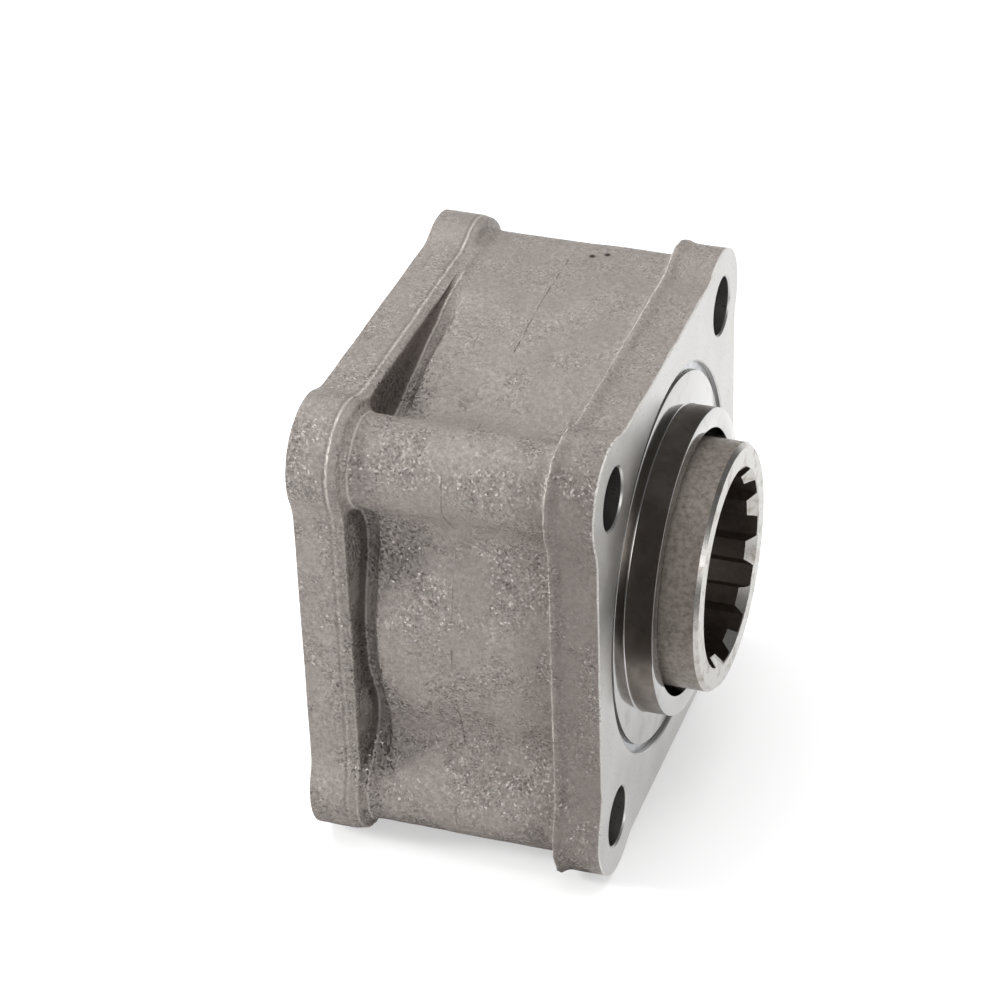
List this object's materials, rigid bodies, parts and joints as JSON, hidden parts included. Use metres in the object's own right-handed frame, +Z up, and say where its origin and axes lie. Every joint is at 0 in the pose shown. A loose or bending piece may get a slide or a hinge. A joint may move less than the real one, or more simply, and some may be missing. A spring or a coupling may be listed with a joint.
{
  "type": "power take off unit",
  "caption": "Square cast housing with a bolt flange at each end and a splined hub that turns in ball bearings, passing drive through it.",
  "frame": {"origin": "on the shaft axis in the plane of the machined front face, which is the centre of the front bolt pattern", "axes": "+X along the shaft, out of the front face; +Z up as the unit lies on the bottom corner bosses of its flanges; +Y across"},
  "size_m": [0.0786, 0.107, 0.107],
  "materials": {
    "cast_iron": "shot-blasted sand casting, with machined bright faces and bores",
    "turned_steel": "fine turned, clean oiled steel",
    "ground_steel": "ground, with brown heat and oil stains",
    "spring_steel": "dark blued spring steel",
    "seal_steel": "dark coated pressed sheet",
    "nitrile_rubber": "smooth moulded black rubber",
    "bearing_steel": "polished bearing steel",
    "cage_steel": "pressed steel, bright"
  },
  "bodies": {
    "housing_body": {"housing": "cast_iron", "pilot_ring": "turned_steel", "snap_ring": "spring_steel", "cover_o_ring": "nitrile_rubber", "shim_ring": "turned_steel", "seal_case": "seal_steel", "seal_lip": "nitrile_rubber", "seal_spring": "spring_steel", "front_outer_race": "bearing_steel", "rear_outer_race": "bearing_steel", "bore_circlip": "spring_steel"},
    "hub_body": {"output_hub": "ground_steel", "spacer_sleeve": "turned_steel", "hub_circlip": "spring_steel", "front_inner_race": "bearing_steel", "rear_inner_race": "bearing_steel"},
    "front_ball_set": {"front_balls": "bearing_steel", "front_cage": "cage_steel"},
    "rear_ball_set": {"rear_balls": "bearing_steel", "rear_cage": "cage_steel"}
  },
  "joints": [
    {"name": "hub_spin", "type": "hinge", "parent": "housing_body", "child": "hub_body", "pos_m": [0, 0, 0], "axis": [1, 0, 0], "continuous": true},
    {"name": "front_balls_roll", "type": "hinge", "parent": "housing_body", "child": "front_ball_set", "pos_m": [0, 0, 0], "axis": [1, 0, 0], "continuous": true},
    {"name": "rear_balls_roll", "type": "hinge", "parent": "housing_body", "child": "rear_ball_set", "pos_m": [0, 0, 0], "axis": [1, 0, 0], "continuous": true}
  ],
  "couplings": [
    {"joint": "front_balls_roll", "follows": "hub_spin", "ratio": 0.4319},
    {"joint": "rear_balls_roll", "follows": "hub_spin", "ratio": 0.4468}
  ]
}
